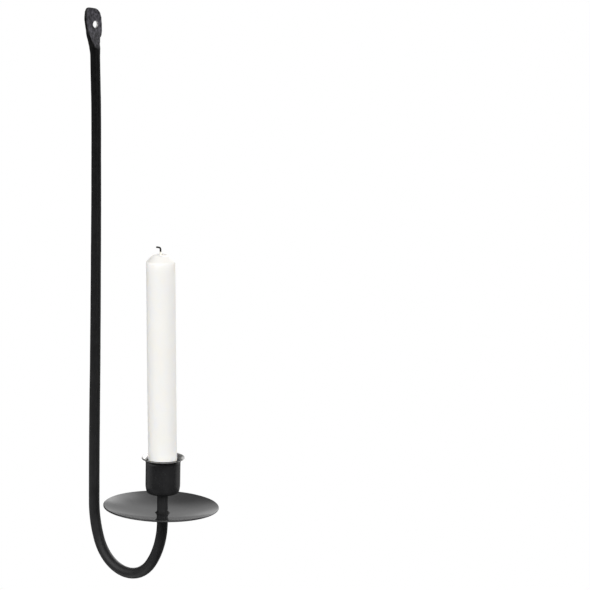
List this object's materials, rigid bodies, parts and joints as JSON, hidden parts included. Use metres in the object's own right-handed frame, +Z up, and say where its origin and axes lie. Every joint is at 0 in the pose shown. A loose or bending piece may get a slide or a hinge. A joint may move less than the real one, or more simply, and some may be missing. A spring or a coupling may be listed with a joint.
{
  "type": "wall sconce candle holder",
  "caption": "Forged wall sconce: a flat eye plate on a long round rod that hooks forward to carry a dished drip pan, a flared cup and a straight dinner candle.",
  "frame": {"origin": "centre of the wall hole on the eye plate's back face", "axes": "+Z up along the bar, +Y out of the plate's back into the wall, +X to the viewer's right when facing the wall"},
  "size_m": [0.0886, 0.1235, 0.4414],
  "materials": {
    "black_steel": "satin black lacquer on forged steel",
    "black_sheet": "satin black lacquer on drawn steel sheet",
    "zinc_steel": "zinc-plated steel",
    "wax": "smooth white paraffin wax",
    "wick_cotton": "braided cotton, charred at the tip"
  },
  "bodies": {
    "holder": {"wall_arm": "black_steel", "drip_pan": "black_sheet", "pan_weld": "black_steel", "candle_cup": "black_sheet", "cup_washer": "zinc_steel", "cup_screw": "zinc_steel"},
    "candle": {"candle_wax": "wax", "candle_wick": "wick_cotton"}
  },
  "joints": [
    {"name": "candle_lift", "type": "slide", "parent": "holder", "child": "candle", "axis": [0, 0, 1], "range_m": [0, 0.045]}
  ]
}
